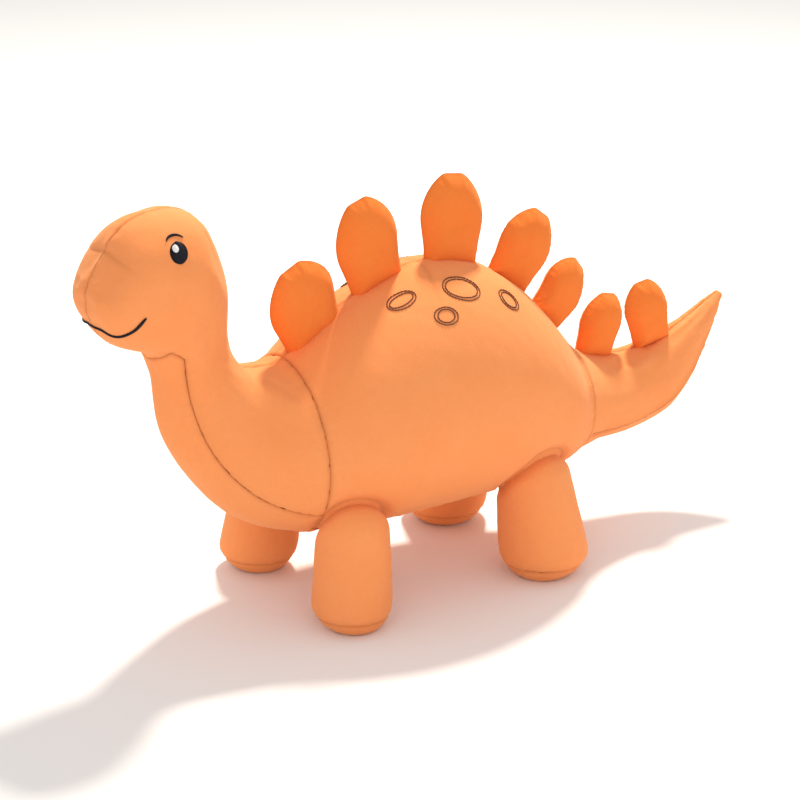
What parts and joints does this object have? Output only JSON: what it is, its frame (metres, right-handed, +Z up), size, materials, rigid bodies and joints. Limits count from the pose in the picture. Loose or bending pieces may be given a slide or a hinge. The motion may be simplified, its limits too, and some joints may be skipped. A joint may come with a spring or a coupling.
{
  "type": "stuffed dinosaur",
  "caption": "Sewn plush long-necked dinosaur standing on stubby legs, with a row of puffy back plates, embroidered face and ringed spots; limbs, neck, tail and plates flex at their seams.",
  "frame": {"origin": "on the surface the toy stands on, midway between snout and tail tip and between left and right", "axes": "+Z up, nose along -Y, tail along +Y, +X the dinosaur's left side"},
  "size_m": [0.1478, 0.4215, 0.2341],
  "materials": {
    "body_fabric": "short-pile velour, peach orange, soft sheen",
    "plate_fabric": "short-pile velour, deeper orange, soft sheen",
    "stuffing": "white polyester fibre filling",
    "dark_thread": "satin-stitched embroidery thread, near black",
    "white_thread": "satin-stitched embroidery thread, white",
    "brown_thread": "outline-stitched embroidery thread, brown"
  },
  "bodies": {
    "torso": {"torso_left_panel": "body_fabric", "torso_right_panel": "body_fabric", "belly_panel": "body_fabric", "torso_stuffing": "stuffing", "spot_rings_left": "brown_thread", "spot_rings_right": "brown_thread"},
    "head": {"head_left_panel": "body_fabric", "head_right_panel": "body_fabric", "throat_panel": "body_fabric", "head_stuffing": "stuffing", "eye_left": "dark_thread", "eye_right": "dark_thread", "eye_highlights": "white_thread", "brow_left": "dark_thread", "brow_right": "dark_thread", "mouth": "dark_thread"},
    "tail": {"tail_left_panel": "body_fabric", "tail_right_panel": "body_fabric", "tail_under_panel": "body_fabric", "tail_stuffing": "stuffing"},
    "leg_front_left": {"leg_front_left_tube": "body_fabric", "leg_front_left_sole": "body_fabric", "leg_front_left_stuffing": "stuffing"},
    "leg_front_right": {"leg_front_right_tube": "body_fabric", "leg_front_right_sole": "body_fabric", "leg_front_right_stuffing": "stuffing"},
    "leg_rear_left": {"leg_rear_left_tube": "body_fabric", "leg_rear_left_sole": "body_fabric", "leg_rear_left_stuffing": "stuffing"},
    "leg_rear_right": {"leg_rear_right_tube": "body_fabric", "leg_rear_right_sole": "body_fabric", "leg_rear_right_stuffing": "stuffing"},
    "plate_1": {"plate_1_left_panel": "plate_fabric", "plate_1_right_panel": "plate_fabric", "plate_1_stuffing": "stuffing"},
    "plate_2": {"plate_2_left_panel": "plate_fabric", "plate_2_right_panel": "plate_fabric", "plate_2_stuffing": "stuffing"},
    "plate_3": {"plate_3_left_panel": "plate_fabric", "plate_3_right_panel": "plate_fabric", "plate_3_stuffing": "stuffing"},
    "plate_4": {"plate_4_left_panel": "plate_fabric", "plate_4_right_panel": "plate_fabric", "plate_4_stuffing": "stuffing"},
    "plate_5": {"plate_5_left_panel": "plate_fabric", "plate_5_right_panel": "plate_fabric", "plate_5_stuffing": "stuffing"},
    "plate_6": {"plate_6_left_panel": "plate_fabric", "plate_6_right_panel": "plate_fabric", "plate_6_stuffing": "stuffing"},
    "plate_7": {"plate_7_left_panel": "plate_fabric", "plate_7_right_panel": "plate_fabric", "plate_7_stuffing": "stuffing"}
  },
  "joints": [
    {"name": "neck_nod", "type": "hinge", "parent": "torso", "child": "head", "pos_m": [0, -0.109, 0.08947], "axis": [1, 0, 0], "range_deg": [-8, 10], "stiffness_Nm_per_rad": 1.6},
    {"name": "tail_wag", "type": "hinge", "parent": "torso", "child": "tail", "pos_m": [0, 0.097, 0.079], "axis": [0, 0, 1], "range_deg": [-20, 20], "stiffness_Nm_per_rad": 0.6},
    {"name": "leg_front_left_swing", "type": "hinge", "parent": "torso", "child": "leg_front_left", "pos_m": [0.048, -0.08, 0.052], "axis": [1, 0, 0], "range_deg": [-15, 15], "stiffness_Nm_per_rad": 0.8},
    {"name": "leg_front_right_swing", "type": "hinge", "parent": "torso", "child": "leg_front_right", "pos_m": [-0.048, -0.08, 0.052], "axis": [1, 0, 0], "range_deg": [-15, 15], "stiffness_Nm_per_rad": 0.8},
    {"name": "leg_rear_left_swing", "type": "hinge", "parent": "torso", "child": "leg_rear_left", "pos_m": [0.044, 0.042, 0.054], "axis": [1, 0, 0], "range_deg": [-15, 15], "stiffness_Nm_per_rad": 0.8},
    {"name": "leg_rear_right_swing", "type": "hinge", "parent": "torso", "child": "leg_rear_right", "pos_m": [-0.044, 0.042, 0.054], "axis": [1, 0, 0], "range_deg": [-15, 15], "stiffness_Nm_per_rad": 0.8},
    {"name": "plate_1_flop", "type": "hinge", "parent": "torso", "child": "plate_1", "pos_m": [0, -0.0775, 0.1515], "axis": [0, 0.889, 0.458], "range_deg": [-18, 18], "stiffness_Nm_per_rad": 0.03},
    {"name": "plate_2_flop", "type": "hinge", "parent": "torso", "child": "plate_2", "pos_m": [0, -0.037, 0.1735], "axis": [0, 0.9457, 0.3251], "range_deg": [-18, 18], "stiffness_Nm_per_rad": 0.03},
    {"name": "plate_3_flop", "type": "hinge", "parent": "torso", "child": "plate_3", "pos_m": [0, 0.0125, 0.1775], "axis": [0, 0.9899, -0.1414], "range_deg": [-18, 18], "stiffness_Nm_per_rad": 0.03},
    {"name": "plate_4_flop", "type": "hinge", "parent": "torso", "child": "plate_4", "pos_m": [0, 0.0525, 0.1605], "axis": [0, 0.7962, -0.6051], "range_deg": [-18, 18], "stiffness_Nm_per_rad": 0.03},
    {"name": "plate_5_flop", "type": "hinge", "parent": "torso", "child": "plate_5", "pos_m": [0, 0.079, 0.1325], "axis": [0, 0.606, -0.7954], "range_deg": [-18, 18], "stiffness_Nm_per_rad": 0.03},
    {"name": "plate_6_flop", "type": "hinge", "parent": "tail", "child": "plate_6", "pos_m": [0, 0.1135, 0.106], "axis": [0, 0.9724, -0.2334], "range_deg": [-18, 18], "stiffness_Nm_per_rad": 0.03},
    {"name": "plate_7_flop", "type": "hinge", "parent": "tail", "child": "plate_7", "pos_m": [0, 0.156, 0.106], "axis": [0, 0.9884, 0.1521], "range_deg": [-18, 18], "stiffness_Nm_per_rad": 0.03}
  ]
}
